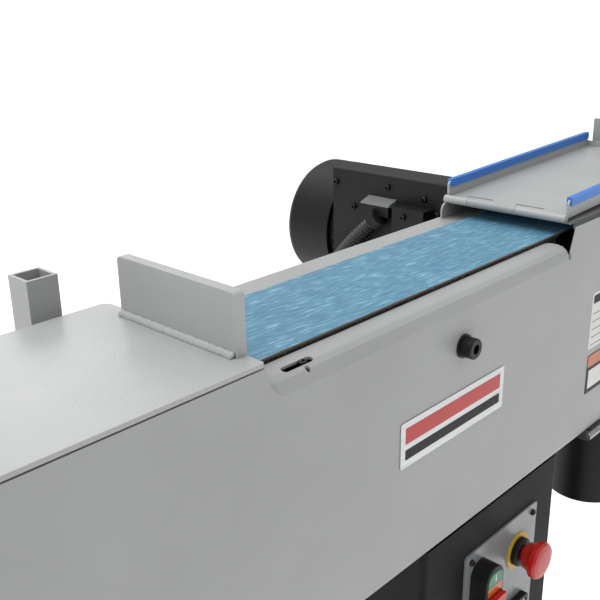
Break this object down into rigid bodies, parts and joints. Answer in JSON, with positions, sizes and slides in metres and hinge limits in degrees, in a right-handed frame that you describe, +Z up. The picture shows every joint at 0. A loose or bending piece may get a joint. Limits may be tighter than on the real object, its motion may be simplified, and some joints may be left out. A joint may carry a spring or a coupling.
{
  "type": "belt grinder",
  "caption": "Stationary belt grinder: long horizontal abrasive belt in a sheet-metal housing on a pedestal, hinged wheel hood, rear motor and dust outlet.",
  "frame": {"origin": "on the floor, in the middle of the base plate's bolt pattern", "axes": "+X along the belt towards the drive wheel, +Y from the operator's side to the motor, +Z up"},
  "size_m": [0.964, 0.57, 1.012],
  "materials": {
    "dark_paint": "near-black textured powder coat",
    "grey_paint": "light grey powder coat, fine orange peel",
    "cover_paint": "light grey powder coat, coarse orange peel",
    "post_paint": "light grey paint on square tube",
    "motor_paint": "dark grey machine enamel",
    "panel_plate": "satin silver-grey coat on a flat plate",
    "black_oxide": "black oxide on steel",
    "blue_trim": "blue edge trim",
    "nameplate": "brushed blank plate",
    "zinc_screws": "zinc plated",
    "bare_steel": "machined, lightly oiled",
    "cast_wheel": "turned casting",
    "wheel_rubber": "vulcanised rubber, ground",
    "belt": "blue-grey ceramic abrasive on cloth",
    "graphite": "graphite-coated canvas",
    "black_plastic": "moulded black plastic",
    "grey_plastic": "moulded light grey plastic",
    "green_button": "moulded green plastic",
    "red_button": "moulded red plastic",
    "amber_lens": "amber lens",
    "yellow_ring": "yellow moulded ring",
    "conduit_plastic": "corrugated black nylon",
    "mid_grey_paint": "satin mid-grey coat on a small lid"
  },
  "bodies": {
    "frame": {"base_plate": "dark_paint", "pedestal_column": "dark_paint", "service_cover": "dark_paint", "control_plate": "panel_plate", "panel_screws": "black_oxide", "switch_housing": "black_plastic", "indicator_lamp": "amber_lens", "estop_ring": "yellow_ring", "estop_collar": "black_plastic", "selector_bezel": "black_plastic", "rear_frame_plate": "grey_paint", "left_end_plate": "grey_paint", "right_end_plate": "grey_paint", "bottom_pan": "grey_paint", "left_cover": "cover_paint", "stop_plate": "cover_paint", "stop_weld": "cover_paint", "accessory_post": "post_paint", "right_hood": "grey_paint", "hood_hinge_leaf": "grey_paint", "lid_rest": "grey_paint", "door_hinge_fixed": "bare_steel", "abrasive_belt": "belt", "graphite_pad": "graphite", "platen": "bare_steel", "tension_guides": "bare_steel", "tension_spring": "bare_steel", "motor_body": "motor_paint", "motor_cowl": "motor_paint", "motor_side_plate": "motor_paint", "side_plate_screws": "black_oxide", "terminal_box": "motor_paint", "terminal_lid": "mid_grey_paint", "conduit": "conduit_plastic", "conduit_block": "black_plastic", "junction_cover": "motor_paint", "dust_spigot": "black_plastic"},
    "door": {"front_door": "grey_paint", "door_hinge_moving": "bare_steel", "nameplate": "nameplate"},
    "door_lock": {"lock_screw": "black_oxide", "lock_cam": "zinc_screws"},
    "lid": {"lid": "cover_paint", "lid_trim_front": "blue_trim", "lid_trim_rear": "blue_trim"},
    "drive": {"drive_wheel": "cast_wheel", "motor_shaft": "bare_steel", "motor_fan": "black_plastic"},
    "tension": {"tension_slide": "bare_steel", "idler_axle": "bare_steel"},
    "idler": {"contact_wheel_hub": "cast_wheel", "contact_wheel_tyre": "wheel_rubber", "wheel_bearings": "bare_steel"},
    "tension_lever": {"tension_lever": "dark_paint", "lever_grip": "black_plastic"},
    "tracking": {"tracking_knob": "black_plastic"},
    "start_button": {"start_button": "green_button"},
    "stop_button": {"stop_button": "red_button"},
    "estop": {"estop_mushroom": "red_button"},
    "selector": {"selector_knob": "black_plastic"}
  },
  "joints": [
    {"name": "door_hinge", "type": "hinge", "parent": "frame", "child": "door", "pos_m": [0, -0.128, 0.7175], "axis": [1, 0, 0], "range_deg": [0, 90]},
    {"name": "door_lock_turn", "type": "hinge", "parent": "door", "child": "door_lock", "pos_m": [-0.0803, -0.125, 0.902], "axis": [0, 1, 0], "range_deg": [0, 90]},
    {"name": "lid_hinge", "type": "hinge", "parent": "frame", "child": "lid", "pos_m": [0.111, 0, 0.9665], "axis": [0, -1, 0], "range_deg": [0, 105]},
    {"name": "drive_spin", "type": "hinge", "parent": "frame", "child": "drive", "pos_m": [0.316, 0, 0.8495], "axis": [0, 1, 0], "continuous": true},
    {"name": "tension_slide", "type": "slide", "parent": "frame", "child": "tension", "axis": [1, 0, 0], "range_m": [0, 0.012], "deforming": ["tension_spring"]},
    {"name": "idler_spin", "type": "hinge", "parent": "tension", "child": "idler", "pos_m": [-0.37, 0, 0.8495], "axis": [0, 1, 0], "continuous": true},
    {"name": "tension_lever_turn", "type": "hinge", "parent": "frame", "child": "tension_lever", "pos_m": [-0.22, 0, 0.8095], "axis": [0, -1, 0], "range_deg": [0, 90]},
    {"name": "tracking_knob_turn", "type": "hinge", "parent": "frame", "child": "tracking", "pos_m": [-0.505, -0.01, 0.8795], "axis": [1, 0, 0], "range_deg": [-180, 180]},
    {"name": "start_press", "type": "slide", "parent": "frame", "child": "start_button", "axis": [0, 1, 0], "range_m": [0, 0.003], "stiffness_N_per_m": 400, "springref_m": -0.002},
    {"name": "stop_press", "type": "slide", "parent": "frame", "child": "stop_button", "axis": [0, 1, 0], "range_m": [0, 0.003], "stiffness_N_per_m": 400, "springref_m": -0.002},
    {"name": "estop_press", "type": "slide", "parent": "frame", "child": "estop", "axis": [0, 1, 0], "range_m": [0, 0.004]},
    {"name": "selector_turn", "type": "hinge", "parent": "frame", "child": "selector", "pos_m": [0.038, -0.122, 0.558], "axis": [0, 1, 0], "range_deg": [-45, 45]}
  ],
  "couplings": [
    {"joint": "idler_spin", "follows": "drive_spin", "ratio": 1},
    {"joint": "tension_slide", "follows": "tension_lever_turn", "m_per_rad": 0.0076}
  ]
}
